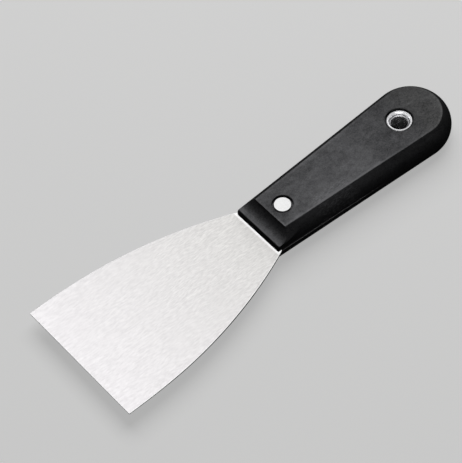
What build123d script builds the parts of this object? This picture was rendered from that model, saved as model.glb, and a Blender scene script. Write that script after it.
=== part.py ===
from build123d import *
import math
import os

# Ink knife: a stiff, flat, flared steel blade held between two moulded handle scales.
#
# Frame: millimetres, +Z up.  X runs along the knife, with the working edge of the blade at -X and
# the round butt of the handle at +X.  The origin is under the middle of the knife, in the plane of
# the handle's lower flat face, so Z = 0 is the face it lies on.  The knife is mirrored about Y = 0
# and about its own middle plane at Z = handle_thickness / 2.
#
# "x" in the dimensions below is the distance back from the working edge, and "z" is the height
# above the middle plane of the blade.

# ---------------------------------------------------------------- driving dimensions
overall_length = 193.9

# blade
edge_width = 63.5  # working edge, square to the axis
blade_length = 92.8  # working edge to the handle's nose
blade_thickness = 1.0
edge_thickness = 0.5  # ground down to this at the working edge
taper_run = 62.0  # length of the ground taper
corner_radius = 0.35
# half-widths of the flared sides: (x, half width)
flare_points = [
    (12.0, 31.62),
    (24.0, 31.07),
    (36.0, 29.86),
    (48.0, 27.90),
    (60.0, 25.20),
    (72.0, 21.77),
    (84.0, 17.55),
    (92.0, 14.25),
]
shoulder_x = 94.7  # the flare runs on into the joint as far as this
neck_half_width = 13.02
# hidden tang
shoulder_clear = 0.05  # between the shoulders and the steps in the joint
tang_front_half_width = 10.4
tang_rear_half_width = 8.4

# handle outline at the joint between the scales
handle_thickness = 16.0
nose_half_width = 13.03
butt_radius = 17.15
butt_center_x = overall_length - butt_radius
# crowned side: the flat face is narrower than the joint by this much all round
side_flare = 3.9
joint_gap = 0.02  # each scale stands back this far from the middle plane
# coved nose
nose_half_thickness = 4.5
cove_length = 7.1
edge_break = 0.3

# coring of each scale
cavity_inset = 4.3
cavity_front_x = 102.0
roof_thickness = 2.3
rib_thickness = 1.8
rib_xs = [122.0, 134.5, 147.0]
front_boss_radius = 6.4
rear_boss_radius = 8.8
draft = 1.5

# solid compression rivet near the nose
rivet_x = 106.5
rivet_head_radius = 3.58
rivet_head_thickness = 1.30
rivet_recess = 0.25  # head below the flat face
rivet_counterbore_radius = 4.45
rivet_socket_radius = 2.50
rivet_hole_radius = 2.55
rivet_post_radius = 1.58
rivet_post_bore_radius = 1.60

# hollow rivet that lines the hanging hole
eyelet_x = 170.5
eyelet_rim_radius = 5.45
eyelet_counterbore_radius = 6.05
eyelet_flange_thickness = 1.00
eyelet_rim_break = 0.35
eyelet_recess = 0.60  # rim below the flat face
eyelet_hole_radius = 4.45  # hole in the scales and the tang
barrel_outer_radius = 4.40
barrel_inner_radius = 4.08
ferrule_outer_radius = 4.05
hang_hole_radius = 3.75
mouth_radius = 4.90  # rounded mouth at the rim
mouth_depth = 1.00
ferrule_end_drop = 1.80  # far end of the ferrule, below the barrel's rim
ferrule_lip = 0.50  # length of the eased inner lip at that end

# ---------------------------------------------------------------- derived values
edge_x = -overall_length / 2
half = handle_thickness / 2
mid_z = half
side_radius = (half**2 + side_flare**2) / (2 * side_flare)
tang_clear = blade_thickness / 2 + 0.02


def level(z):
    """Horizontal plane at height z over the middle plane, with its origin over the working edge."""
    return Plane(origin=(edge_x, 0, mid_z + z), x_dir=(1, 0, 0), z_dir=(0, 0, 1))


def upright():
    """Lengthwise upright plane through the knife's axis: local x runs back, local y runs up."""
    return Plane(origin=(edge_x, 0, mid_z), x_dir=(1, 0, 0), z_dir=(0, -1, 0))


def section(x):
    """Upright plane along the knife through the axis of a fastener at x."""
    return Plane(origin=(edge_x + x, 0, mid_z), x_dir=(1, 0, 0), z_dir=(0, -1, 0))


def tangent_angle(x, half_width, center_x, radius):
    """Angle of the straight side that leaves (x, half_width) and meets the butt arc tangentially."""
    run = center_x - x
    reach = math.hypot(run, half_width)
    return math.asin(radius / reach) - math.atan2(half_width, run)


side_angle = tangent_angle(blade_length, nose_half_width, butt_center_x, butt_radius)


def half_width_at(x, inset=0.0):
    """Half width of the joint outline at x on its straight part, moved in by inset."""
    return (
        nose_half_width
        + (x - blade_length) * math.tan(side_angle)
        - inset / math.cos(side_angle)
    )


def outline(front_x, inset):
    """Points of the handle outline moved in by inset: front, tangent, butt, tangent, front."""
    r = butt_radius - inset
    tx = butt_center_x - r * math.sin(side_angle)
    ty = r * math.cos(side_angle)
    return (
        (front_x, -half_width_at(front_x, inset)),
        (tx, -ty),
        (butt_center_x + r, 0),
        (tx, ty),
        (front_x, half_width_at(front_x, inset)),
    )


os.makedirs("parts", exist_ok=True)

# ---------------------------------------------------------------- blade
# One sheet of spring steel: flared leaf that runs a little way in between the scales, where it is
# still wider than the nose, then square shoulders and a tapered tang that runs back inside the
# handle and round the hanging hole.
with BuildPart() as blade:
    with BuildSketch(level(-blade_thickness / 2)):
        with BuildLine():
            side = [(0, edge_width / 2)] + flare_points + [(shoulder_x, neck_half_width)]
            Spline(*side, tangents=[(1, -0.002), (1, -0.47)])
            Polyline(
                (shoulder_x, neck_half_width),
                (shoulder_x, tang_front_half_width),
                (eyelet_x, tang_rear_half_width),
            )
            RadiusArc(
                (eyelet_x, tang_rear_half_width),
                (eyelet_x, -tang_rear_half_width),
                tang_rear_half_width,
            )
            Polyline(
                (eyelet_x, -tang_rear_half_width),
                (shoulder_x, -tang_front_half_width),
                (shoulder_x, -neck_half_width),
            )
            Spline(
                *[(x, -y) for x, y in reversed(side)],
                tangents=[(-1, -0.47), (-1, -0.002)],
            )
            Line((0, -edge_width / 2), (0, edge_width / 2))
        make_face()
    extrude(amount=blade_thickness)
    # ground taper to the working edge on both faces
    with BuildSketch(upright()):
        with BuildLine():
            Polyline(
                (0, edge_thickness / 2),
                (taper_run, blade_thickness / 2),
                (overall_length, blade_thickness / 2),
                (overall_length, -blade_thickness / 2),
                (taper_run, -blade_thickness / 2),
                (0, -edge_thickness / 2),
                close=True,
            )
        make_face()
    extrude(amount=edge_width, both=True, mode=Mode.INTERSECT)
    # tip corners are just broken
    fillet(
        blade.edges().filter_by(Axis.Z).group_by(Axis.X)[0],
        radius=corner_radius,
    )
    # holes for the two rivets
    with BuildSketch(level(-blade_thickness)):
        with Locations((rivet_x, 0)):
            Circle(rivet_hole_radius)
        with Locations((eyelet_x, 0)):
            Circle(eyelet_hole_radius)
    extrude(amount=2 * blade_thickness, mode=Mode.SUBTRACT)
blade.part.label = "blade"

# ---------------------------------------------------------------- scales
path_front_x = blade_length - 6
with BuildPart() as upper_scale:
    # crowned rim, swept round the outline
    front, tan_a, butt, tan_b, back = outline(path_front_x, 0)
    with BuildLine(level(0)) as rim_path:
        Line(front, tan_a)
        ThreePointArc(tan_a, butt, tan_b)
        Line(tan_b, back)
    rim_wire = rim_path.wires()[0]
    start = rim_wire @ 0
    heading = rim_wire % 0
    inward = Vector(0, 0, 1).cross(heading)
    with BuildSketch(Plane(origin=start, x_dir=inward, z_dir=heading)) as rim_section:
        with BuildLine():
            low = (
                side_radius - math.sqrt(side_radius**2 - joint_gap**2),
                joint_gap,
            )
            mid_h = half * 0.55
            middle = (side_radius - math.sqrt(side_radius**2 - mid_h**2), mid_h)
            ThreePointArc(low, middle, (side_flare, half))
            Polyline((side_flare, half), (8.0, half), (8.0, joint_gap), low)
        make_face()
    sweep(path=rim_wire)
    # core inside the rim
    with BuildSketch(level(joint_gap)):
        with BuildLine():
            a, b, c, d, e = outline(path_front_x, 7.0)
            Line(a, b)
            ThreePointArc(b, c, d)
            Line(d, e)
            Line(e, a)
        make_face()
    extrude(amount=half - joint_gap)
    # square nose
    split(
        bisect_by=Plane(origin=(edge_x + blade_length, 0, 0), z_dir=(1, 0, 0)),
        keep=Keep.TOP,
    )
    # cove that scoops the nose down from the flat face
    with BuildSketch(upright()):
        with Locations((blade_length - 0.15, half)):
            Ellipse(cove_length, half - nose_half_thickness)
    extrude(amount=2 * butt_radius, both=True, mode=Mode.SUBTRACT)
    # broken edges of the flat face, the cove's lip and the nose
    top_face = upper_scale.faces().filter_by(Axis.Z).sort_by(Axis.Z)[-1]
    fillet(top_face.edges(), radius=edge_break)

    # coring from the joint side
    with BuildSketch(level(0)):
        with BuildLine():
            a, b, c, d, e = outline(cavity_front_x, cavity_inset)
            Line(a, b)
            ThreePointArc(b, c, d)
            Line(d, e)
            Line(e, a)
        make_face()
    extrude(amount=half - roof_thickness, taper=draft, mode=Mode.SUBTRACT)
    # bosses and ribs left standing in the cavity, down to the tang
    with BuildSketch(level(tang_clear)):
        with Locations((rivet_x, 0)):
            Circle(front_boss_radius)
        with Locations((eyelet_x, 0)):
            Circle(rear_boss_radius)
        with Locations(((rivet_x + eyelet_x) / 2, 0)):
            Rectangle(eyelet_x - rivet_x, rib_thickness)
        for x in rib_xs:
            with Locations((x, 0)):
                Rectangle(rib_thickness, 2 * half_width_at(x, cavity_inset) + 1.0)
    extrude(amount=half - roof_thickness - tang_clear + 0.5)
    # pocket for the tang, which opens through the nose
    with BuildSketch(level(0)):
        with BuildLine():
            Polyline(
                (eyelet_x, -tang_rear_half_width - 0.12),
                (blade_length - 1, -tang_front_half_width - 0.12),
                (blade_length - 1, tang_front_half_width + 0.12),
                (eyelet_x, tang_rear_half_width + 0.12),
            )
            RadiusArc(
                (eyelet_x, tang_rear_half_width + 0.12),
                (eyelet_x, -tang_rear_half_width - 0.12),
                tang_rear_half_width + 0.12,
            )
        make_face()
    extrude(amount=tang_clear, mode=Mode.SUBTRACT)
    # the mouth of the joint is open right across for the blade's neck
    with BuildSketch(level(0)):
        with Locations((shoulder_x + shoulder_clear - 5, 0)):
            Rectangle(10, 4 * nose_half_width)
    extrude(amount=tang_clear, mode=Mode.SUBTRACT)
    # counterbored rivet hole and hanging hole
    with Locations(Plane(origin=(edge_x + rivet_x, 0, mid_z + half))):
        CounterBoreHole(
            radius=rivet_hole_radius,
            counter_bore_radius=rivet_counterbore_radius,
            counter_bore_depth=rivet_head_thickness + rivet_recess,
        )
    with Locations(Plane(origin=(edge_x + eyelet_x, 0, mid_z + half))):
        CounterBoreHole(
            radius=eyelet_hole_radius,
            counter_bore_radius=eyelet_counterbore_radius,
            counter_bore_depth=eyelet_flange_thickness + eyelet_recess,
        )
upper_scale.part.label = "upper_scale"

# the lower scale is the same moulding turned over
with BuildPart() as lower_scale:
    add(upper_scale.part)
    mirror(about=Plane(origin=(0, 0, mid_z)), mode=Mode.REPLACE)
lower_scale.part.label = "lower_scale"

# ---------------------------------------------------------------- solid rivet, in two halves
head_top = half - rivet_recess
head_under = head_top - rivet_head_thickness
with BuildPart() as rivet_socket:
    with BuildSketch(section(rivet_x)):
        with BuildLine():
            Polyline(
                (0, head_top),
                (rivet_head_radius, head_top),
                (rivet_head_radius, head_under),
                (rivet_socket_radius, head_under),
                (rivet_socket_radius, -4.6),
                (rivet_post_bore_radius, -4.6),
                (rivet_post_bore_radius, 5.2),
                (0, 5.2),
                close=True,
            )
        make_face()
    revolve(axis=Axis((edge_x + rivet_x, 0, 0), (0, 0, 1)))
    rim = rivet_socket.edges().filter_by(GeomType.CIRCLE).group_by(Axis.Z)[-1]
    fillet(rim, radius=0.25)
rivet_socket.part.label = "rivet_socket"

with BuildPart() as rivet_post:
    with BuildSketch(section(rivet_x)):
        with BuildLine():
            Polyline(
                (0, -head_top),
                (rivet_head_radius, -head_top),
                (rivet_head_radius, -head_under),
                (rivet_socket_radius, -head_under),
                (rivet_socket_radius, -4.8),
                (rivet_post_radius, -4.8),
                (rivet_post_radius, 4.4),
                (rivet_post_radius - 0.4, 4.9),
                (0, 4.9),
                close=True,
            )
        make_face()
    revolve(axis=Axis((edge_x + rivet_x, 0, 0), (0, 0, 1)))
    rim = rivet_post.edges().filter_by(GeomType.CIRCLE).group_by(Axis.Z)[0]
    fillet(rim, radius=0.25)
rivet_post.part.label = "rivet_post"

# ---------------------------------------------------------------- hollow rivet, in two halves
rim_top = half - eyelet_recess
flange_under = rim_top - eyelet_flange_thickness
mouth_end = rim_top - mouth_depth
ferrule_end = rim_top - ferrule_end_drop
with BuildPart() as eyelet_barrel:
    with BuildSketch(section(eyelet_x)):
        with BuildLine():
            Polyline(
                (barrel_outer_radius, flange_under),
                (eyelet_rim_radius, flange_under),
                (eyelet_rim_radius, rim_top - eyelet_rim_break),
                (eyelet_rim_radius - eyelet_rim_break, rim_top),
                (mouth_radius, rim_top),
            )
            Spline(
                (mouth_radius, rim_top),
                (barrel_inner_radius, mouth_end),
                tangents=[(-1, -0.3), (0, -1)],
            )
            Polyline(
                (barrel_inner_radius, mouth_end),
                (barrel_inner_radius, -flange_under + 0.2),
                (barrel_outer_radius, -flange_under + 0.2),
                (barrel_outer_radius, flange_under),
            )
        make_face()
    revolve(axis=Axis((edge_x + eyelet_x, 0, 0), (0, 0, 1)))
eyelet_barrel.part.label = "eyelet_barrel"

with BuildPart() as eyelet_ferrule:
    with BuildSketch(section(eyelet_x)):
        with BuildLine():
            Polyline(
                (ferrule_outer_radius, -flange_under),
                (eyelet_rim_radius, -flange_under),
                (eyelet_rim_radius, -rim_top + eyelet_rim_break),
                (eyelet_rim_radius - eyelet_rim_break, -rim_top),
                (mouth_radius, -rim_top),
            )
            Spline(
                (mouth_radius, -rim_top),
                (hang_hole_radius, -mouth_end + 0.3),
                tangents=[(-1, 0.3), (0, 1)],
            )
            Line(
                (hang_hole_radius, -mouth_end + 0.3),
                (hang_hole_radius, ferrule_end - ferrule_lip),
            )
            Spline(
                (hang_hole_radius, ferrule_end - ferrule_lip),
                (ferrule_outer_radius - 0.04, ferrule_end),
                tangents=[(0, 1), (0.6, 1)],
            )
            Polyline(
                (ferrule_outer_radius - 0.04, ferrule_end),
                (ferrule_outer_radius, ferrule_end),
                (ferrule_outer_radius, -flange_under),
            )
        make_face()
    revolve(axis=Axis((edge_x + eyelet_x, 0, 0), (0, 0, 1)))
eyelet_ferrule.part.label = "eyelet_ferrule"

# ---------------------------------------------------------------- files
export_step(blade.part, "parts/blade.step")
export_step(upper_scale.part, "parts/upper_scale.step")
export_step(lower_scale.part, "parts/lower_scale.step")
export_step(rivet_socket.part, "parts/rivet_socket.step")
export_step(rivet_post.part, "parts/rivet_post.step")
export_step(eyelet_barrel.part, "parts/eyelet_barrel.step")
export_step(eyelet_ferrule.part, "parts/eyelet_ferrule.step")
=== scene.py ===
"""Ink knife: looks.  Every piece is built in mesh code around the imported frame, in metres."""

import math

import bmesh
import bpy
import numpy as np
from mathutils import Matrix, Vector
from mathutils.geometry import delaunay_2d_cdt


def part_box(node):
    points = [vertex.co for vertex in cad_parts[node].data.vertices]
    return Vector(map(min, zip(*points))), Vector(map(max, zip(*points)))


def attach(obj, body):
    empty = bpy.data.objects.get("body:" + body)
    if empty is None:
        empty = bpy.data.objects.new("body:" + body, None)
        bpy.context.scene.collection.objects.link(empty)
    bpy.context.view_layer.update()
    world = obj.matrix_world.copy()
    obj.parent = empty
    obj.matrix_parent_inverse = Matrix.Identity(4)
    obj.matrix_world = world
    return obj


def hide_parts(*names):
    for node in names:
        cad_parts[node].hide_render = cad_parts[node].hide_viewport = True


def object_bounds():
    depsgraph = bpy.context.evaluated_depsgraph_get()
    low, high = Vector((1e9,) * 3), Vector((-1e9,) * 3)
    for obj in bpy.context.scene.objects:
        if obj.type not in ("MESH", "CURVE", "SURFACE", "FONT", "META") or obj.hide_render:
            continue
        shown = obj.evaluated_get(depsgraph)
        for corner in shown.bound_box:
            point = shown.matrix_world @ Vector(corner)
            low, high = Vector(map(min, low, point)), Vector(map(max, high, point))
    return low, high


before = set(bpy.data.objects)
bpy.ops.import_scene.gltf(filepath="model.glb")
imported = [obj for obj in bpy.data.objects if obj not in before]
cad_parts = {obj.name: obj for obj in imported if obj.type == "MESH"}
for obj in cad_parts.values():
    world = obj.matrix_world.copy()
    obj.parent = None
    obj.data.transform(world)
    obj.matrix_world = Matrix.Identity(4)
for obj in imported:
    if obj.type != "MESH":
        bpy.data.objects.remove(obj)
CAD_LO, CAD_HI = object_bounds()

# ------------------------------------------------------------------ sizes, mm, from the frame
# x runs back from the working edge, z is measured from the blade's middle plane.
MM = 1000.0
EDGE_X = CAD_LO.x * MM
MID_Z = (CAD_LO.z + CAD_HI.z) / 2 * MM
LENGTH = (CAD_HI.x - CAD_LO.x) * MM


def span(node):
    """(low, high) of a node as (x from the edge, y, z from the middle plane), in mm."""
    lo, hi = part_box(node)
    off = np.array([EDGE_X, 0.0, MID_Z])
    return np.array(lo) * MM - off, np.array(hi) * MM - off


SC_LO, SC_HI = span("upper_scale")
BL_LO, BL_HI = span("blade")
RV_LO, RV_HI = span("rivet_socket")
EY_LO, EY_HI = span("eyelet_barrel")
FE_LO, FE_HI = span("eyelet_ferrule")

NOSE_X = SC_LO[0]
HALF = SC_HI[2]
GAP = SC_LO[2]
BUTT_R = SC_HI[1]
BUTT_X = SC_HI[0] - BUTT_R
RIVET_X = (RV_LO[0] + RV_HI[0]) / 2
EYELET_X = (EY_LO[0] + EY_HI[0]) / 2
NOSE_HW = 13.03
FLARE = 3.9
SIDE_R = (HALF**2 + FLARE**2) / (2 * FLARE)
NOSE_TOP = 4.5
CORNER_R = 0.42
COVE_A, COVE_B = 7.1, HALF - NOSE_TOP
COVE_X = NOSE_X - 0.15

RUN = BUTT_X - NOSE_X
ALPHA = math.asin(BUTT_R / math.hypot(RUN, NOSE_HW)) - math.atan2(NOSE_HW, RUN)
CA, SA, TA = math.cos(ALPHA), math.sin(ALPHA), math.tan(ALPHA)


def to_frame(p):
    """Points in knife millimetres to the row frame in metres."""
    p = np.asarray(p, float)
    return (p + np.array([EDGE_X, 0.0, MID_Z])) / MM


# ------------------------------------------------------------------ small mesh kit
class Shell:
    """Collects vertices and faces of one closed piece, in knife millimetres."""

    def __init__(self):
        self.v, self.f, self.m, self.w = [], [], [], []
        self.n = 0

    def add(self, pts, painted_highlight=0.0):
        pts = np.asarray(pts, float).reshape(-1, 3)
        i = self.n
        self.v.append(pts)
        self.w.append(np.broadcast_to(np.asarray(painted_highlight, float), (len(pts),)))
        self.n += len(pts)
        return np.arange(i, self.n)

    def face(self, idx, mat=0):
        self.f.append(tuple(int(i) for i in idx))
        self.m.append(mat)

    def bridge(self, a, b, mat=0, closed=True):
        n = len(a)
        for i in range(n if closed else n - 1):
            j = (i + 1) % n
            self.face((a[i], a[j], b[j], b[i]), mat)

    def build(self, name, mats, replaces, angle=35.0):
        me = bpy.data.meshes.new(name)
        me.from_pydata([tuple(p) for p in to_frame(np.vstack(self.v))], [], self.f)
        me.polygons.foreach_set("material_index", np.array(self.m, np.int32))
        # per-vertex share of painted highlight, which the materials turn into lighter colour
        painted_highlight = me.attributes.new("painted_highlight", "FLOAT", "POINT")
        painted_highlight.data.foreach_set("value", np.concatenate(self.w).astype(np.float32))
        bm = bmesh.new()
        bm.from_mesh(me)
        bmesh.ops.remove_doubles(bm, verts=bm.verts, dist=2e-7)
        bmesh.ops.recalc_face_normals(bm, faces=bm.faces)
        bm.to_mesh(me)
        bm.free()
        me.shade_smooth()
        me.set_sharp_from_angle(angle=math.radians(angle))
        for m in mats:
            me.materials.append(m)
        ob = bpy.data.objects.new(name, me)
        bpy.context.scene.collection.objects.link(ob)
        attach(ob, "root")
        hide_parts(replaces)
        return ob


def hashed(i, j, k, seed):
    """Repeatable pseudo-random numbers in 0..1 on an integer grid."""
    n = (
        np.asarray(i, np.int64) * 374761393
        + np.asarray(j, np.int64) * 668265263
        + np.asarray(k, np.int64) * 2147483647
        + seed * 1274126177
    ) & 0xFFFFFFFF
    n = ((n ^ (n >> 13)) * 1274126177) & 0xFFFFFFFF
    n = n ^ (n >> 16)
    return (n & 0xFFFFFF) / float(0xFFFFFF)


def wave(x, y, cell, seed, octaves=2):
    """Smooth value noise in -1..1 over the plane, for real undulation of a surface."""
    total, amp, norm = 0.0, 1.0, 0.0
    for o in range(octaves):
        u, v = np.asarray(x) / cell * 2**o, np.asarray(y) / cell * 2**o
        i, j = np.floor(u).astype(int), np.floor(v).astype(int)
        a, b = u - i, v - j
        a, b = a * a * a * (a * (a * 6 - 15) + 10), b * b * b * (b * (b * 6 - 15) + 10)
        q = (
            hashed(i, j, o, seed) * (1 - a) * (1 - b)
            + hashed(i + 1, j, o, seed) * a * (1 - b)
            + hashed(i, j + 1, o, seed) * (1 - a) * b
            + hashed(i + 1, j + 1, o, seed) * a * b
        )
        total = total + amp * (2 * q - 1)
        norm += amp
        amp *= 0.5
    return total / norm


def inside(poly, pts):
    """Which points lie inside a closed polygon."""
    x, y = pts[:, 0], pts[:, 1]
    res = np.zeros(len(pts), bool)
    px, py = poly[:, 0], poly[:, 1]
    qx, qy = np.roll(px, -1), np.roll(py, -1)
    for a, b, c, d in zip(px, py, qx, qy):
        cut = (b > y) != (d > y)
        with np.errstate(divide="ignore", invalid="ignore"):
            xx = (c - a) * (y - b) / (d - b) + a
        res ^= cut & (x < xx)
    return res


def edge_distance(poly, pts):
    """Distance of each point to a closed polygon's sides."""
    a, b = poly, np.roll(poly, -1, axis=0)
    best = np.full(len(pts), 1e9)
    for p, q in zip(a, b):
        d = q - p
        l2 = d @ d
        if l2 < 1e-18:
            continue
        t = np.clip(((pts - p) @ d) / l2, 0, 1)
        best = np.minimum(best, np.linalg.norm(pts - (p + t[:, None] * d), axis=1))
    return best


def fill(shell, loops, height, mat=0, cell=0.0, clear=0.45):
    """Fills a flat region bounded by the first loop of indices, with holes for the others, by a
    constrained Delaunay mesh with evenly spread inner points.  height(x, y) gives inner z."""
    allv = np.vstack(shell.v)
    rings = [allv[l][:, :2] for l in loops]
    pts, ids, edges = [], [], []
    for l, r in zip(loops, rings):
        s = len(pts)
        pts += [tuple(p) for p in r]
        ids += list(l)
        edges += [(s + i, s + (i + 1) % len(r)) for i in range(len(r))]
    if cell:
        lo, hi = rings[0].min(0), rings[0].max(0)
        rows = np.arange(lo[1], hi[1], cell * 0.866)
        grid = np.array(
            [
                (x + (k % 2) * cell / 2, y)
                for k, y in enumerate(rows)
                for x in np.arange(lo[0], hi[0], cell)
            ]
        )
        keep = inside(rings[0], grid)
        for r in rings[1:]:
            keep &= ~inside(r, grid)
        grid = grid[keep]
        for r in rings:
            grid = grid[edge_distance(r, grid) > clear * cell]
        z = height(grid[:, 0], grid[:, 1])
        new = shell.add(np.c_[grid, z])
        pts += [tuple(p) for p in grid]
        ids += list(new)
    co, _, faces, orig, _, _ = delaunay_2d_cdt(
        [Vector(p) for p in pts], edges, [], 0, 1e-7
    )
    co = np.array([tuple(c) for c in co])
    back = [ids[o[0]] if o else None for o in orig]
    tri = [f for f in faces if all(back[i] is not None for i in f)]
    # triangles joined across unfixed edges share one side of every loop; the largest decides
    fixed = {frozenset(e) for e in edges}
    src = [o[0] if o else -1 for o in orig]
    owner, parent = {}, list(range(len(tri)))

    def root(i):
        while parent[i] != i:
            parent[i] = parent[parent[i]]
            i = parent[i]
        return i

    for k, f in enumerate(tri):
        for i, j in zip(f, f[1:] + f[:1]):
            key = frozenset((src[i], src[j]))
            if key in fixed:
                continue
            if key in owner:
                parent[root(k)] = root(owner[key])
            owner[key] = k
    p, q, r = (co[[f[i] for f in tri]] for i in range(3))
    area = np.abs((q - p)[:, 0] * (r - p)[:, 1] - (q - p)[:, 1] * (r - p)[:, 0])
    mid = (p + q + r) / 3
    big = {}
    for k in range(len(tri)):
        g = root(k)
        if g not in big or area[k] > area[big[g]]:
            big[g] = k
    heads = list(big.values())
    ok = inside(rings[0], mid[heads]) & (area[heads] > 1e-2)  # slivers along a side are dropped
    for ring in rings[1:]:
        ok &= ~inside(ring, mid[heads])
    good = {root(k) for k, g in zip(heads, ok) if g}
    for k, f in enumerate(tri):
        if root(k) in good:
            shell.face([back[i] for i in f], mat)


def bez(a, c, b, n, first=True):
    """Quadratic curve from a to b that rounds the corner c."""
    t = np.linspace(0, 1, n + 1)[(0 if first else 1) :, None]
    a, b, c = map(lambda q: np.asarray(q, float), (a, b, c))
    return a * (1 - t) ** 2 + 2 * c * t * (1 - t) + b * t**2


def circle(cx, r, z, n):
    a = np.linspace(0, 2 * np.pi, n, endpoint=False)
    return np.c_[cx + r * np.cos(a), r * np.sin(a), np.full(n, z)]


def revolve(shell, cx, profile, n, closed, mat=0, caps=(False, False)):
    """Spins a profile of (r, z) about the upright axis at cx."""
    loops = [None if r < 1e-9 else shell.add(circle(cx, r, z, n)) for r, z in profile]
    tips = {
        k: shell.add([(cx, 0, z)])[0] for k, (r, z) in enumerate(profile) if r < 1e-9
    }
    count = len(profile)
    for k in range(count if closed else count - 1):
        a, b = loops[k], loops[(k + 1) % count]
        if a is None and b is None:
            continue
        if a is None or b is None:
            ring = b if a is None else a
            tip = tips[k] if a is None else tips[(k + 1) % count]
            for i in range(n):
                shell.face((ring[i], ring[(i + 1) % n], tip), mat)
        else:
            shell.bridge(a, b, mat)


# ------------------------------------------------------------------ node helpers
def new_material(name, colour):
    m = bpy.data.materials.new(name)
    m.use_nodes = True
    m.diffuse_color = (*colour, 1)
    t = m.node_tree
    t.nodes.clear()
    out = t.nodes.new("ShaderNodeOutputMaterial")
    bsdf = t.nodes.new("ShaderNodeBsdfPrincipled")
    t.links.new(bsdf.outputs[0], out.inputs[0])
    return m, t, bsdf


def coords(t, scale, rot=(0, 0, 0), loc=(0, 0, 0)):
    tc = t.nodes.new("ShaderNodeTexCoord")
    mp = t.nodes.new("ShaderNodeMapping")
    mp.inputs["Scale"].default_value = scale
    mp.inputs["Rotation"].default_value = rot
    mp.inputs["Location"].default_value = loc
    t.links.new(tc.outputs["Object"], mp.inputs["Vector"])
    return mp.outputs[0]


def noise(t, vec, scale=1.0, detail=2.0, rough=0.5, distort=0.0):
    n = t.nodes.new("ShaderNodeTexNoise")
    n.inputs["Scale"].default_value = scale
    n.inputs["Detail"].default_value = detail
    n.inputs["Roughness"].default_value = rough
    n.inputs["Distortion"].default_value = distort
    t.links.new(vec, n.inputs["Vector"])
    return n.outputs["Fac"]


def maprange(t, v, a, b, c, d, smooth=False):
    n = t.nodes.new("ShaderNodeMapRange")
    if smooth:
        n.interpolation_type = "SMOOTHSTEP"
    for k, x in zip(("From Min", "From Max", "To Min", "To Max"), (a, b, c, d)):
        n.inputs[k].default_value = x
    t.links.new(v, n.inputs["Value"])
    return n.outputs["Result"]


def math_node(t, op, a, b=None, c=None, clamp=False):
    n = t.nodes.new("ShaderNodeMath")
    n.operation = op
    n.use_clamp = clamp
    for i, x in enumerate((a, b, c)):
        if x is None:
            continue
        if isinstance(x, (int, float)):
            n.inputs[i].default_value = x
        else:
            t.links.new(x, n.inputs[i])
    return n.outputs[0]


def mix_colour(t, fac, a, b, blend="MIX"):
    n = t.nodes.new("ShaderNodeMix")
    n.data_type = "RGBA"
    n.blend_type = blend
    if isinstance(fac, (int, float)):
        n.inputs[0].default_value = fac
    else:
        t.links.new(fac, n.inputs[0])
    for i, x in ((6, a), (7, b)):
        if isinstance(x, tuple):
            n.inputs[i].default_value = (*x, 1)
        else:
            t.links.new(x, n.inputs[i])
    return n.outputs[2]


def bump(t, height, strength, distance, normal=None):
    n = t.nodes.new("ShaderNodeBump")
    n.inputs["Strength"].default_value = strength
    n.inputs["Distance"].default_value = distance
    t.links.new(height, n.inputs["Height"])
    if normal is not None:
        t.links.new(normal, n.inputs["Normal"])
    return n.outputs[0]


# ------------------------------------------------------------------ materials
def attribute(t, name):
    n = t.nodes.new("ShaderNodeAttribute")
    n.attribute_name = name
    return n.outputs["Fac"]


def object_axis(t, axis, a, b, smooth=True):
    """0 to 1 between two places along an axis of the row frame, in metres."""
    tc = t.nodes.new("ShaderNodeTexCoord")
    sp = t.nodes.new("ShaderNodeSeparateXYZ")
    t.links.new(tc.outputs["Object"], sp.inputs[0])
    return maprange(t, sp.outputs[axis], a, b, 0.0, 1.0, smooth)


def bent(t, vec, cell, amount, seed=0.0):
    """Bends a texture's space a little, so that its lines wander."""
    n = t.nodes.new("ShaderNodeTexNoise")
    n.inputs["Scale"].default_value = 1.0
    n.inputs["Detail"].default_value = 1.0
    t.links.new(coords(t, (1 / cell, 1 / cell, 1 / cell), loc=(seed, seed * 2, 0)), n.inputs["Vector"])
    sub = t.nodes.new("ShaderNodeVectorMath")
    sub.operation = "SUBTRACT"
    t.links.new(n.outputs["Color"], sub.inputs[0])
    sub.inputs[1].default_value = (0.5, 0.5, 0.5)
    mul = t.nodes.new("ShaderNodeVectorMath")
    mul.operation = "MULTIPLY"
    t.links.new(sub.outputs[0], mul.inputs[0])
    mul.inputs[1].default_value = (0, amount, 0)
    add = t.nodes.new("ShaderNodeVectorMath")
    t.links.new(vec, add.inputs[0])
    t.links.new(mul.outputs[0], add.inputs[1])
    return add.outputs[0]


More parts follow.
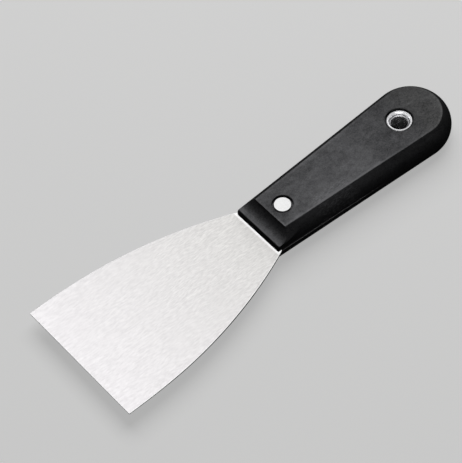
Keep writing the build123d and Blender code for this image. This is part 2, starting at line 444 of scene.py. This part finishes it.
def steel_material():
    m, t, b = new_material("blade_brushed_steel", (0.78, 0.77, 0.77))
    short = noise(t, bent(t, coords(t, (430, 1750, 800)), 0.009, 2.6), 1.0, 2.0, 0.55)
    fine = noise(t, bent(t, coords(t, (700, 3600, 1500), loc=(4, 1, 0)), 0.012, 4.0, 2), 1.0, 2.0, 0.55)
    long = noise(t, coords(t, (45, 900, 500), loc=(3.1, 0.7, 0)), 1.0, 2.0, 0.5)
    cloud = noise(t, coords(t, (60, 75, 60), loc=(7, 2, 1)), 1.0, 2.0, 0.5)
    s = math_node(t, "ADD", math_node(t, "MULTIPLY", short, 0.55), math_node(t, "MULTIPLY", fine, 0.25))
    s = math_node(t, "ADD", s, math_node(t, "MULTIPLY", long, 0.16))
    tone = maprange(t, s, 0.36, 0.64, 0.0, 1.0)
    neck = object_axis(t, 0, EDGE_X / MM, (EDGE_X + NOSE_X) / MM, False)
    # the grinding marks are stronger toward the handle
    depth = math_node(t, "ADD", 0.54, math_node(t, "MULTIPLY", neck, 0.46))
    tone = math_node(t, "ADD", 0.5, math_node(t, "MULTIPLY", math_node(t, "SUBTRACT", tone, 0.5), depth))
    col = mix_colour(t, tone, (0.741, 0.723, 0.735), (0.968, 0.947, 0.961))
    col = mix_colour(t, maprange(t, cloud, 0.3, 0.7, 0.0, 0.42), col, (0.82, 0.80, 0.812))
    # painted shade: the steel's colour is darkened and tinted toward the handle, standing for the light falling off
    # there
    col = mix_colour(t, neck, col, mix_colour(t, 1.0, col, (0.814, 0.822, 0.792), "MULTIPLY"))
    # painted highlight: a strip along the foot of the nose and the rounded rim are painted near white
    foot_highlight = math_node(t, "MULTIPLY", object_axis(t, 0, (EDGE_X + NOSE_X - 1.2) / MM, (EDGE_X + NOSE_X - 0.5) / MM), 0.9)
    col = mix_colour(t, math_node(t, "MAXIMUM", foot_highlight, attribute(t, "painted_highlight")), col, (0.97, 0.97, 0.97))
    t.links.new(col, b.inputs["Base Color"])
    b.inputs["Metallic"].default_value = 1.0
    t.links.new(maprange(t, s, 0.35, 0.65, 0.45, 0.34), b.inputs["Roughness"])
    b.inputs["Anisotropic"].default_value = 0.45
    tan = t.nodes.new("ShaderNodeCombineXYZ")
    tan.inputs[0].default_value = 1.0
    t.links.new(tan.outputs[0], b.inputs["Tangent"])
    t.links.new(bump(t, s, 0.45, 0.00003), b.inputs["Normal"])
    return m


def plastic_material():
    m, t, b = new_material("handle_moulded_plastic", (0.02, 0.02, 0.021))
    broad = noise(t, coords(t, (48, 70, 60), loc=(2, 5, 1)), 1.0, 2.0, 0.5)
    cloud = noise(t, coords(t, (150, 210, 180), loc=(1, 4, 2)), 1.0, 3.0, 0.6, 0.5)
    patch = noise(t, coords(t, (480, 560, 480), loc=(3, 1, 2)), 1.0, 3.0, 0.6)
    fleck = noise(t, coords(t, (1050, 1250, 1050), loc=(6, 2, 5)), 1.0, 2.0, 0.6)
    grain = noise(t, coords(t, (2300, 2300, 2300)), 1.0, 2.0, 0.6)
    mix = math_node(t, "ADD", math_node(t, "MULTIPLY", broad, 0.35), math_node(t, "MULTIPLY", cloud, 0.40))
    mix = math_node(t, "ADD", mix, math_node(t, "MULTIPLY", patch, 0.25))
    mottle = maprange(t, mix, 0.36, 0.64, 0.0, 1.0)
    # rubbed paler along the middle of the grip, most toward one edge
    lo = object_axis(t, 0, 0.002, 0.014)
    hi = object_axis(t, 0, 0.062, 0.040)
    across = object_axis(t, 1, 0.009, -0.012)
    rub = math_node(t, "MULTIPLY", math_node(t, "MULTIPLY", lo, hi), math_node(t, "ADD", 0.50, math_node(t, "MULTIPLY", across, 0.62)))
    rub = math_node(t, "MULTIPLY", rub, object_axis(t, 2, 0.0138, 0.0154))
    # and on the thin front of the step, where a thumb sits; the round end stays plain
    step = math_node(t, "MULTIPLY", object_axis(t, 0, -0.0013, -0.0026), object_axis(t, 2, 0.0112, 0.0122))
    tail = object_axis(t, 0, 0.077, 0.086)
    # a few pale streaks beside the near edge, part of the way back: painted highlight
    patch_x = math_node(t, "MULTIPLY", object_axis(t, 0, 0.014, 0.023), object_axis(t, 0, 0.042, 0.034))
    marks = noise(t, bent(t, coords(t, (620, 2300, 900), loc=(2, 3, 0)), 0.006, 3.0, 5), 1.0, 3.0, 0.6)
    marks = math_node(t, "MULTIPLY", maprange(t, marks, 0.48, 0.62, 0.0, 0.9), object_axis(t, 1, -0.0045, -0.0090))
    painted_highlight = math_node(t, "MAXIMUM", attribute(t, "painted_highlight"), math_node(t, "MULTIPLY", marks, patch_x))
    col = mix_colour(t, mottle, (0.009, 0.009, 0.0098), (0.020, 0.020, 0.0208))
    col = mix_colour(t, maprange(t, grain, 0.35, 0.65, 0, 0.4), col, (0.022, 0.022, 0.023))
    # painted highlight: the edges, lip and streaks are painted lighter, and the lower moulding's joint edge much paler
    col = mix_colour(t, math_node(t, "MINIMUM", painted_highlight, 1.0), col, (0.055, 0.055, 0.057))
    col = mix_colour(t, maprange(t, painted_highlight, 1.6, 4.0, 0.0, 1.0), col, (0.46, 0.46, 0.465))
    t.links.new(col, b.inputs["Base Color"])
    r = math_node(t, "ADD", maprange(t, mix, 0.36, 0.64, 0.50, 0.42), maprange(t, grain, 0.3, 0.7, -0.03, 0.03))
    t.links.new(r, b.inputs["Roughness"])
    b.inputs["IOR"].default_value = 1.65
    spec = math_node(t, "ADD", maprange(t, mix, 0.36, 0.64, 0.37, 0.60), math_node(t, "MULTIPLY", rub, 0.26))
    spec = math_node(t, "ADD", spec, math_node(t, "MULTIPLY", step, 0.22))
    spec = math_node(t, "SUBTRACT", spec, math_node(t, "MULTIPLY", tail, 0.05))
    for part, share in ((patch, 0.26), (fleck, 0.46), (grain, 0.85)):
        spec = math_node(t, "ADD", spec, math_node(t, "MULTIPLY", math_node(t, "SUBTRACT", part, 0.5), share))
    spec = math_node(t, "ADD", spec, math_node(t, "MULTIPLY", painted_highlight, 0.35), clamp=True)
    t.links.new(spec, b.inputs["Specular IOR Level"])
    cool = object_axis(t, 0, 0.085, 0.070)
    t.links.new(mix_colour(t, cool, (1, 1, 1), (0.958, 0.962, 1.0)), b.inputs["Specular Tint"])
    n = bump(t, patch, 0.25, 0.00008)
    n = bump(t, grain, 0.5, 0.00004, n)
    t.links.new(n, b.inputs["Normal"])
    return m


def rivet_material():
    m, t, b = new_material("rivet_satin_aluminium", (0.85, 0.85, 0.85))
    tc = t.nodes.new("ShaderNodeTexCoord")
    mp = t.nodes.new("ShaderNodeMapping")
    c = to_frame([[RIVET_X, 0, 0]])[0]
    mp.inputs["Location"].default_value = (-c[0], -c[1], 0)
    t.links.new(tc.outputs["Object"], mp.inputs["Vector"])
    ln = t.nodes.new("ShaderNodeVectorMath")
    ln.operation = "LENGTH"
    sep = t.nodes.new("ShaderNodeSeparateXYZ")
    cmb = t.nodes.new("ShaderNodeCombineXYZ")
    t.links.new(mp.outputs[0], sep.inputs[0])
    t.links.new(sep.outputs[0], cmb.inputs[0])
    t.links.new(sep.outputs[1], cmb.inputs[1])
    t.links.new(cmb.outputs[0], ln.inputs[0])
    rings = t.nodes.new("ShaderNodeTexNoise")
    rings.noise_dimensions = "1D"
    rings.inputs["Scale"].default_value = 5200
    rings.inputs["Detail"].default_value = 3
    t.links.new(ln.outputs["Value"], rings.inputs["W"])
    speck = noise(t, coords(t, (1500, 1500, 1500)), 1.0, 3.0, 0.6)
    s = math_node(t, "ADD", math_node(t, "MULTIPLY", rings.outputs["Fac"], 0.5), math_node(t, "MULTIPLY", speck, 0.5))
    col = mix_colour(t, maprange(t, s, 0.35, 0.65, 0, 1), (0.80, 0.80, 0.80), (0.90, 0.90, 0.90))
    t.links.new(col, b.inputs["Base Color"])
    b.inputs["Metallic"].default_value = 1.0
    t.links.new(maprange(t, s, 0.35, 0.65, 0.38, 0.28), b.inputs["Roughness"])
    t.links.new(bump(t, s, 0.3, 0.00002), b.inputs["Normal"])
    return m


def eyelet_material():
    m, t, b = new_material("eyelet_bright_plate", (0.8, 0.8, 0.82))
    speck = noise(t, coords(t, (900, 900, 900)), 1.0, 3.0, 0.6)
    draw = noise(t, coords(t, (700, 700, 90)), 1.0, 2.0, 0.5)
    s = math_node(t, "ADD", math_node(t, "MULTIPLY", speck, 0.5), math_node(t, "MULTIPLY", draw, 0.5))
    col = mix_colour(t, maprange(t, s, 0.35, 0.65, 0, 1), (0.80, 0.80, 0.82), (0.90, 0.90, 0.91))
    t.links.new(col, b.inputs["Base Color"])
    b.inputs["Metallic"].default_value = 0.96
    t.links.new(maprange(t, s, 0.35, 0.65, 0.32, 0.24), b.inputs["Roughness"])
    t.links.new(bump(t, s, 0.25, 0.00003), b.inputs["Normal"])
    return m


STEEL, PLASTIC, RIVET, EYELET = steel_material(), plastic_material(), rivet_material(), eyelet_material()


# ------------------------------------------------------------------ handle scales
def crown(z):
    """How far the side stands in from the joint outline at height z."""
    return SIDE_R - np.sqrt(SIDE_R**2 - np.asarray(z, float) ** 2)


def side_y(x, inset):
    return NOSE_HW + (x - NOSE_X) * TA - inset / CA


# how far the upper moulding stands in from its mate along the joint: x, share of the ledge
SEAM = (
    [92, 110, 115, 119, 122, 126, 129, 133, 142, 147, 157],
    [1.0, 1.0, 0.85, 0.78, 0.52, 0.66, 0.55, 0.42, 0.36, 0.12, 0.0],
)


# the upper moulding's nose stands out fuller on its near side than on its far side: height, amount
CHEEK = ([0, 2, 3.5, 4.5, 4.7, 4.9, 5.23, 5.7, 6.43, 8], [0, 0.15, 0.75, 1.42, 1.38, 1.22, 0.90, 0.50, 0.15, 0])


def slice_loop(xf, s, rc, ledge=0.0, waist=0.0, cheek=0.0, nf=14, nc=7, ns=84, na=52):
    """One closed horizontal slice of the handle: straight front, straight sides, round butt.
    ledge pulls the front half of the sides in, where the moulding doesn't meet its mate, and
    waist narrows the grip ahead of the eyelet, and cheek fills out one side of the nose."""
    xc = xf + rc
    yc = side_y(xc, s + rc)
    front = np.c_[np.full(nf, xf), np.linspace(0, yc, nf, endpoint=False)]
    a = np.linspace(np.pi, np.pi / 2 + ALPHA, nc + 1)[:-1]
    corner = np.c_[xc + rc * np.cos(a), yc + rc * np.sin(a)]
    p = np.array([xc - rc * SA, yc + rc * CA])
    r = BUTT_R - s
    q = np.array([BUTT_X - r * SA, r * CA])
    u = np.linspace(0, 1, ns, endpoint=False)[:, None]
    side = p + (q - p) * u
    a = np.linspace(np.pi / 2 + ALPHA, 0, na + 1)
    arc = np.c_[BUTT_X + r * np.cos(a), r * np.sin(a)]
    h = np.vstack([front, corner, side, arc])
    pull = ledge * np.interp(h[:, 0], *SEAM) + waist * np.interp(h[:, 0], [148, 162], [1, 0])
    h[:, 1] -= pull * np.clip(h[:, 1] / 4, 0, 1)
    m = h[1:-1][::-1] * np.array([1, -1])
    m[:, 1] -= cheek * np.interp(m[:, 0], [97, 105], [1, 0]) * np.clip(-m[:, 1] / 4, 0, 1)
    return np.vstack([h, m])


def edge_highlight(loop):
    """How much painted highlight the edge of the flat face gets round its outline: sides most, butt least."""
    x, y = loop[:, 0], loop[:, 1]
    near = np.interp(x, [98, 132, 146, 160, 175, 190], [1.15, 1.20, 0.90, 0.50, 0.40, 0.45])
    far = np.interp(x, [98, 132, 142, 152, 175, 190], [0.45, 0.70, 0.85, 0.40, 0.30, 0.30])
    k = np.clip(y / 6 + 0.5, 0, 1)
    return (near * (1 - k) + far * k) * (0.90 + 0.22 * wave(x, y, 7.0, 3))


def cove_z(x):
    return HALF - COVE_B * np.sqrt(np.maximum(0, 1 - ((x - COVE_X) / COVE_A) ** 2))


def scale_levels():
    """Slices from the joint up to the flat face: (z, front x, inset, corner radius, painted highlight)."""
    out = []
    e = 0.07
    for a in np.linspace(0, np.pi / 2, 5):
        z = GAP + e * (1 - math.cos(a))
        k = e * (1 - math.sin(a))
        out.append((z, NOSE_X + k, float(crown(z)) + k, CORNER_R, 0.0))
    low = out[-1][0]
    rn = 0.34
    for z in np.linspace(low, NOSE_TOP - rn, 13)[1:]:
        out.append((z, NOSE_X, float(crown(z)), CORNER_R, 0.0))
    # rounded lip between the nose and the cove, with a painted highlight along its middle
    bx = NOSE_X + 0.55
    lip = bez((NOSE_X, NOSE_TOP - rn), (NOSE_X + 0.01, NOSE_TOP + 0.004), (bx, cove_z(bx)), 7, False)
    for k, (x, z) in enumerate(lip):
        out.append((z, x, float(crown(z)), CORNER_R, 0.8 * math.sin(math.pi * (k + 1) / (len(lip) + 1))))
    # cove
    dz = 0.16
    t0 = math.asin((bx - COVE_X) / COVE_A)
    t1 = math.acos(dz / COVE_B)
    for th in np.linspace(t0, t1, 27)[1:]:
        z = HALF - COVE_B * math.cos(th)
        out.append((z, COVE_X + COVE_A * math.sin(th), float(crown(z)), CORNER_R + (0.35 - CORNER_R) * (th - t0) / (t1 - t0), 0.0))
    # rounded edge of the flat face, which carries the painted highlight
    z0, x0, s0 = out[-1][:3]
    xe = COVE_X + COVE_A
    for t in np.linspace(0, 1, 7)[1:]:
        z = z0 * (1 - t) ** 2 + HALF * (2 * t * (1 - t) + t * t)
        s = s0 * (1 - t) ** 2 + 2 * t * (1 - t) * (FLARE - 0.02) + t * t * (FLARE + 0.20)
        x = x0 * (1 - t) ** 2 + 2 * t * (1 - t) * xe + t * t * (xe + 0.22)
        out.append((z, x, s, 0.35, 1.0 if t > 0.2 else 0.5))
    return out


def face_height(x, y):
    """The flat face isn't quite flat: a shallow sink over the thick middle and slow waves."""
    y0 = 9.0 + (x - 100) * 0.05
    sink = np.clip(1 - (y / y0) ** 2, 0, 1)
    ends = np.clip((x - 99.8) / 6, 0, 1) * np.clip((SC_HI[0] - 4 - x) / 8, 0, 1)
    return HALF - 0.035 * sink * ends + 0.010 * wave(x, y, 7.0, 11) * sink * ends


def make_scale(name, sign):
    sh = Shell()
    rings = []
    for z, x, s, rc, painted_highlight in scale_levels():
        ledge = 0.28 * min(1.0, max(0.0, (1.5 - z) / 1.1)) if sign > 0 else 0.0
        cheek = float(np.interp(z, *CHEEK)) if sign > 0 else 0.0
        l = slice_loop(x, s, rc, ledge, 0.20 * (z / HALF) ** 4, cheek)
        if sign < 0 and z < GAP + 0.06:  # the lower moulding's bared joint edge is painted pale: a painted highlight for the lit seam line
            w = 4.0 * np.clip((l[:, 0] - NOSE_X - 1) / 1.0, 0, 1) * np.clip((150 - l[:, 0]) / 15, 0, 1)
        elif z < NOSE_TOP + 0.3:  # the lip's painted highlight runs along the nose only
            w = painted_highlight * np.clip((NOSE_X + 2 - l[:, 0]) / 1.2, 0, 1)
        else:
            w = painted_highlight * edge_highlight(l)
        rings.append(sh.add(np.c_[l, np.full(len(l), z)], w))
    for a, b in zip(rings, rings[1:]):
        sh.bridge(a, b)
    holes_top, holes_low = [], []
    for cx, rb, rh, depth, n in (
        (RIVET_X, 4.45, 2.55, 1.55, 72),
        (EYELET_X, 6.05, 4.45, HALF - EY_HI[2] + 1.00, 96),
    ):
        prof = [tuple(p) for p in bez((rb + 0.14, HALF), (rb, HALF), (rb, HALF - 0.14), 4)]
        prof += [(rb, HALF - depth * 0.5)]
        prof += [tuple(p) for p in bez((rb, HALF - depth + 0.12), (rb, HALF - depth), (rb - 0.12, HALF - depth), 3)]
        prof += [(rh + 0.1, HALF - depth), (rh, HALF - depth - 0.1), (rh, 3.0), (rh, GAP)]
        loops = [sh.add(circle(cx, r, z, n)) for r, z in prof]
        for a, b in zip(loops, loops[1:]):
            sh.bridge(a, b)
        holes_top.append(loops[0])
        holes_low.append(loops[-1])
    fill(sh, [rings[-1]] + holes_top, face_height, cell=1.15)
    fill(sh, [rings[0]] + holes_low, lambda x, y: np.full(len(x), GAP), cell=0)
    if sign < 0:
        sh.v = [p * np.array([1, 1, -1]) for p in sh.v]
    return sh.build(name, [PLASTIC], "upper_scale" if sign > 0 else "lower_scale")


HANDLE = [make_scale("handle_upper", 1), make_scale("handle_lower", -1)]


# ------------------------------------------------------------------ blade
def clamped_spline(xs, ys, d0, d1):
    """Cubic through the points with the end slopes given; returns a function."""
    xs, ys = np.asarray(xs, float), np.asarray(ys, float)
    n, h = len(xs), np.diff(xs)
    a, r = np.zeros((n, n)), np.zeros(n)
    a[0, 0], a[0, 1], r[0] = 2 * h[0], h[0], 6 * ((ys[1] - ys[0]) / h[0] - d0)
    a[-1, -1], a[-1, -2], r[-1] = 2 * h[-1], h[-1], 6 * (d1 - (ys[-1] - ys[-2]) / h[-1])
    for i in range(1, n - 1):
        a[i, i - 1], a[i, i], a[i, i + 1] = h[i - 1], 2 * (h[i - 1] + h[i]), h[i]
        r[i] = 6 * ((ys[i + 1] - ys[i]) / h[i] - (ys[i] - ys[i - 1]) / h[i - 1])
    m = np.linalg.solve(a, r)

    def f(x):
        x = np.asarray(x, float)
        i = np.clip(np.searchsorted(xs, x) - 1, 0, n - 2)
        t, u = x - xs[i], xs[i + 1] - x
        return (
            (m[i] * u**3 + m[i + 1] * t**3) / (6 * h[i])
            + (ys[i] / h[i] - m[i] * h[i] / 6) * u
            + (ys[i + 1] / h[i] - m[i + 1] * h[i] / 6) * t
        )

    return f


SHOULDER = 94.7  # the flare runs on into the joint as far as this
HALF_W = BL_HI[1]
flare = clamped_spline(
    [0, 12, 24, 36, 48, 60, 72, 84, 92, SHOULDER],
    [HALF_W, 31.62, 31.07, 29.86, 27.90, 25.20, 21.77, 17.55, 14.25, 13.02],
    -0.002,
    -0.47,
)


def thickness(x):
    return 0.5 + 0.5 * np.clip(np.asarray(x, float) / 62.0, 0, 1)


def make_blade():
    # half outline from the edge's middle round to the tang's end, then mirrored
    half = [(0.0, y) for y in np.arange(0, HALF_W - 0.9, 1.0)]
    for a in np.linspace(np.pi, np.pi / 2, 5):
        half.append((0.35 + 0.35 * math.cos(a), HALF_W - 0.35 + 0.35 * math.sin(a)))
    half += [(x, float(flare(x))) for x in np.arange(1.0, SHOULDER - 0.75, 0.75)]
    half += [(SHOULDER - 0.3, float(flare(SHOULDER - 0.3))), (SHOULDER, float(flare(SHOULDER)) - 0.3)]
    half += [(SHOULDER, y) for y in np.linspace(12.1, 10.9, 3)]
    half += [(SHOULDER + 0.15, 10.4)]
    for x in np.linspace(SHOULDER + 2.5, EYELET_X - 1, 30):
        half.append((x, 10.4 - 2.0 * (x - SHOULDER) / (EYELET_X - SHOULDER)))
    for a in np.linspace(np.pi / 2, 0, 17):
        half.append((EYELET_X + 8.4 * math.cos(a), 8.4 * math.sin(a)))
    half = np.array(half)
    out = np.vstack([half, half[1:-1][::-1] * np.array([1, -1])])
    # outward normals by the mean of the two sides at each point
    d = np.roll(out, -1, 0) - out
    nrm = np.c_[-d[:, 1], d[:, 0]] / np.linalg.norm(d, axis=1)[:, None]
    avg = nrm + np.roll(nrm, 1, 0)
    avg /= np.linalg.norm(avg, axis=1)[:, None]
    cosang = np.clip((avg * nrm).sum(1), 0.5, 1)
    avg = avg / cosang[:, None]
    e = 0.11
    sh = Shell()
    waviness = lambda x, y: 0.018 * wave(x, y, 26.0, 5) * np.clip((SHOULDER - x) / 12, 0, 1)
    loops = []

    def ring(inset, share, painted_highlight):
        """One loop round the blade: share 1 is the upper face, 0 the middle, -1 the lower face."""
        p = out - avg * inset
        t = thickness(p[:, 0]) / 2
        z = np.sign(share) * (t - e) + e * share
        loops.append(sh.add(np.c_[p, z + waviness(p[:, 0], p[:, 1])], painted_highlight))

    ring(0.29, 1.0, 0.0)
    # the rounded rim loops carry a painted highlight
    for a in np.linspace(np.pi / 2, -np.pi / 2, 9):
        ring(e * (1 - math.cos(a)), math.sin(a) if abs(math.sin(a)) > 1e-9 else 0.0, 0.8)
    ring(0.29, -1.0, 0.0)
    for a, b in zip(loops, loops[1:]):
        sh.bridge(a, b)
    tops, lows = [], []
    for cx, r, n in ((RIVET_X, 2.55, 48), (EYELET_X, 4.45, 64)):
        a, b = sh.add(circle(cx, r, 0.5, n)), sh.add(circle(cx, r, -0.5, n))
        sh.bridge(a, b)
        tops.append(a)
        lows.append(b)
    fill(sh, [loops[0]] + tops, lambda x, y: thickness(x) / 2 + waviness(x, y), cell=1.6)
    fill(sh, [loops[-1]] + lows, lambda x, y: -thickness(x) / 2 + waviness(x, y), cell=1.6)
    return sh.build("blade_leaf", [STEEL], "blade")


BLADE = make_blade()


# ------------------------------------------------------------------ rivets
def make_rivet(name, sign, replaces):
    sh = Shell()
    top = RV_HI[2]
    under = top - 1.30
    r = 3.58
    dome = [(rr, top - 0.045 * (rr / r) ** 2) for rr in (0, 0.6, 1.2, 1.8, 2.4, 2.9)]
    prof = [p for p in dome]
    prof += [tuple(p) for p in bez((r - 0.16, top - 0.045 * ((r - 0.16) / r) ** 2), (r, top - 0.05), (r, top - 0.22), 6)]
    prof += [(r, under + 0.08), (r - 0.08, under)]
    if sign > 0:
        prof += [(2.5, under), (2.5, -4.6), (1.6, -4.6), (1.6, 5.2), (0, 5.2)]
    else:
        prof += [(2.5, under), (2.5, 4.8), (1.58, 4.8), (1.58, -4.4), (1.18, -4.9), (0, -4.9)]
    revolve(sh, RIVET_X, prof, 96, False)
    if sign < 0:
        sh.v = [p * np.array([1, 1, -1]) for p in sh.v]
    return sh.build(name, [RIVET], replaces)


FITTINGS = [
    make_rivet("rivet_head_upper", 1, "rivet_socket"),
    make_rivet("rivet_head_lower", -1, "rivet_post"),
]


def make_eyelet():
    rim = EY_HI[2]
    r = (EY_HI[0] - EY_LO[0]) / 2

    def lip(depth):
        """Rolled rim and funnel from the flange's outer edge to the bore: (r, depth below rim)."""
        out = [(r - 0.06, 1.00), (r, 0.94), (r, 0.46)]
        out += [tuple(p) for p in bez((r, 0.46), (r, 0.03), (r - 0.40, 0.0), 8, False)]
        out += [tuple(p) for p in bez((4.95, 0.0), (4.66, 0.0), (4.50, 0.28), 8)]
        return out + depth

    sh = Shell()
    prof = [(4.40, rim - 1.00)]
    prof += [(q, rim - d) for q, d in lip([(4.36, 0.54), (4.22, 0.80), (4.10, 1.00), (4.08, 1.06)])]
    prof += [(4.08, rim - 1.4), (4.08, 4.5), (4.08, 0), (4.08, EY_LO[2]), (4.40, EY_LO[2]), (4.40, 0)]
    revolve(sh, EYELET_X, prof, 128, True)
    upper = sh.build("eyelet_upper", [EYELET], "eyelet_barrel")
    sh = Shell()
    low, end = -rim, FE_HI[2]
    prof = [(4.05, low + 1.00)]
    prof += [(q, low + d) for q, d in lip([(4.28, 0.70), (4.00, 1.20), (3.83, 1.50), (3.75, 1.80)])]
    prof += [(3.75, low + 2.1), (3.75, 0), (3.75, end - 0.6)]
    prof += [tuple(p) for p in bez((3.75, end - 0.44), (3.75, end), (4.0, end), 10)]
    prof += [(4.05, end - 0.06), (4.05, 0)]
    revolve(sh, EYELET_X, prof, 128, True)
    return [upper, sh.build("eyelet_lower", [EYELET], "eyelet_ferrule")]


FITTINGS += make_eyelet()

# ------------------------------------------------------------------ stage
FLOOR_GLOW = 0.40
ROOM_LOW, ROOM_TOP, BACKDROP = 0.07, 0.03, 0.66
scene = bpy.context.scene
scene.view_settings.view_transform = "Standard"
scene.view_settings.look = "None"
scene.view_settings.exposure = 0.0
scene.view_settings.gamma = 1.0

# Pale to the camera, dark to everything else, so that the black handle's sides stay dark.
fm, ft, fb = new_material("floor_pale", (0.8, 0.8, 0.79))
fn = noise(ft, coords(ft, (3, 3, 3)), 1.0, 2.0, 0.5)
fcol = mix_colour(ft, maprange(ft, fn, 0.3, 0.7, 0, 1), (0.69, 0.69, 0.69), (0.71, 0.71, 0.705))
path = ft.nodes.new("ShaderNodeLightPath")
ft.links.new(mix_colour(ft, path.outputs["Is Camera Ray"], (0.03, 0.03, 0.03), fcol), fb.inputs["Base Color"])
fb.inputs["Roughness"].default_value = 0.9
fb.inputs["Specular IOR Level"].default_value = 0.1
fb.inputs["Emission Color"].default_value = (1, 1, 0.995, 1)
ft.links.new(math_node(ft, "MULTIPLY", path.outputs["Is Camera Ray"], FLOOR_GLOW), fb.inputs["Emission Strength"])
me = bpy.data.meshes.new("floor")
bm = bmesh.new()
bmesh.ops.create_grid(bm, x_segments=24, y_segments=24, size=3.0)
bm.to_mesh(me)
bm.free()
me.materials.append(fm)
floor = bpy.data.objects.new("floor", me)
floor.location = (0, 0, CAD_LO.z - 0.0002)
scene.collection.objects.link(floor)

# A dim room, since the handle is black; the camera sees an even pale backdrop.
world = bpy.data.worlds.new("soft_room")
scene.world = world
world.use_nodes = True
wt = world.node_tree
back = wt.nodes["Background"]
wc = wt.nodes.new("ShaderNodeTexCoord")
ws = wt.nodes.new("ShaderNodeSeparateXYZ")
wt.links.new(wc.outputs["Generated"], ws.inputs[0])
level = maprange(wt, ws.outputs[2], 0.30, 0.62, ROOM_LOW, ROOM_TOP, True)
wp = wt.nodes.new("ShaderNodeLightPath")
wm = wt.nodes.new("ShaderNodeMix")
wt.links.new(wp.outputs["Is Camera Ray"], wm.inputs[0])
wt.links.new(level, wm.inputs[2])
wm.inputs[3].default_value = BACKDROP
wt.links.new(wm.outputs[0], back.inputs[1])
back.inputs[0].default_value = (0.97, 0.985, 1.0, 1)


def panel(name, x, y, height, radiance, lit=None, blockers=None, colour=(1, 1, 1)):
    """Level rectangular lamp at a height, spanning x and y (all m), facing down."""
    lamp = bpy.data.lights.new(name, "AREA")
    lamp.shape = "RECTANGLE"
    lamp.size, lamp.size_y = x[1] - x[0], y[1] - y[0]
    lamp.energy = radiance * math.pi * lamp.size * lamp.size_y
    lamp.color = colour
    ob = bpy.data.objects.new(name, lamp)
    ob.location = ((x[0] + x[1]) / 2, (y[0] + y[1]) / 2, height)
    scene.collection.objects.link(ob)
    aim(ob, lit, blockers)
    return ob


def softbox(name, azimuth, elevation, distance, size, radiance, lit=None, blockers=None, colour=(1, 1, 1)):
    """Rectangular lamp at a direction from the knife, facing its middle."""
    a, e = math.radians(azimuth), math.radians(elevation)
    d = Vector((math.sin(a) * math.cos(e), -math.cos(a) * math.cos(e), math.sin(e)))
    lamp = bpy.data.lights.new(name, "AREA")
    lamp.shape = "RECTANGLE"
    lamp.size, lamp.size_y = size
    lamp.energy = radiance * math.pi * size[0] * size[1]
    lamp.color = colour
    ob = bpy.data.objects.new(name, lamp)
    ob.location = d * distance
    ob.rotation_mode = "QUATERNION"
    ob.rotation_quaternion = d.to_track_quat("Z", "Y")
    scene.collection.objects.link(ob)
    aim(ob, lit, blockers)
    return ob


def aim(ob, lit, blockers):
    """Lets a lamp light only some pieces, or be shaded only by some, as flags and nets do."""
    if lit is not None:
        col = bpy.data.collections.new(ob.name + "_lit")
        for o in lit:
            col.objects.link(o)
        ob.light_linking.receiver_collection = col
    if blockers is not None:
        col = bpy.data.collections.new(ob.name + "_shade")
        for o in blockers:
            col.objects.link(o)
        ob.light_linking.blocker_collection = col


METAL = [BLADE] + FITTINGS
RIVETS, EYES = FITTINGS[:2], FITTINGS[2:]
panel("key_panel", (-0.05, 1.0), (-0.1, 1.3), 1.0, 1.35, lit=HANDLE + [floor])
panel("rivet_panel", (-0.6, 1.2), (-0.9, 1.6), 1.0, 1.04, lit=RIVETS, blockers=HANDLE + FITTINGS)
panel("eyelet_panel", (-0.6, 1.2), (-0.9, 1.6), 1.0, 0.50, lit=EYES, blockers=HANDLE + FITTINGS)
softbox("side_card", 12, 12, 1.0, (1.4, 0.8), 0.075, lit=HANDLE)
softbox("far_side_card", 135, 18, 1.2, (1.2, 0.6), 0.30, lit=HANDLE)
softbox("near_side_card", -58, 14, 1.2, (1.2, 0.6), 0.30, lit=HANDLE)
panel("blade_panel", (-0.6, 1.2), (-0.9, 1.6), 1.0, 1.11, lit=[BLADE], blockers=[BLADE])
softbox("front_card", -36, 42, 1.0, (1.4, 0.7), 0.9, lit=[BLADE] + EYES, blockers=METAL + HANDLE)
softbox("eyelet_card", -36, 20, 1.0, (1.5, 1.2), 1.15, lit=EYES, blockers=METAL + HANDLE)
softbox("eyelet_side_card", 235, 14, 1.2, (2.0, 1.0), 0.9, lit=EYES, blockers=METAL + HANDLE)
softbox("eyelet_back_card", 112, 22, 1.0, (0.7, 1.0), 0.9, lit=EYES, blockers=METAL)
for k in range(6):
    softbox(f"ring_card_{k}", 60 * k + 15, 20, 1.4, (1.45, 0.9), 0.55, lit=[BLADE] + EYES, blockers=METAL + HANDLE)

# The black nose stands right on the bright blade: neither shows in the other.
BLADE.visible_glossy = BLADE.visible_diffuse = False

# ------------------------------------------------------------------ camera
AZ, EL, ROLL = map(math.radians, (54.0986, 54.0545, -5.3439))
TX, TY, DIST, F_PX = 85.325, 7.957, 1036.253, 2551.235
F = np.array([math.cos(AZ), math.sin(AZ), 0])
RT = np.array([math.sin(AZ), -math.cos(AZ), 0])
UP = np.array([0, 0, 1.0])
fw = F * math.cos(EL) - UP * math.sin(EL)
upv = F * math.sin(EL) + UP * math.cos(EL)
right = RT * math.cos(ROLL) + upv * math.sin(ROLL)
up = -RT * math.sin(ROLL) + upv * math.cos(ROLL)
eye = np.array([TX, TY, 0.5]) - fw * DIST
cam_data = bpy.data.cameras.new("camera")
cam_data.sensor_width = 36.0
cam_data.lens = F_PX * 36.0 / 463.0
cam_data.clip_start, cam_data.clip_end = 0.01, 20.0
cam = bpy.data.objects.new("camera", cam_data)
loc = to_frame([eye])[0]
cam.matrix_world = Matrix(
    [
        [right[0], up[0], -fw[0], loc[0]],
        [right[1], up[1], -fw[1], loc[1]],
        [right[2], up[2], -fw[2], loc[2]],
        [0, 0, 0, 1],
    ]
)
scene.collection.objects.link(cam)
scene.camera = cam
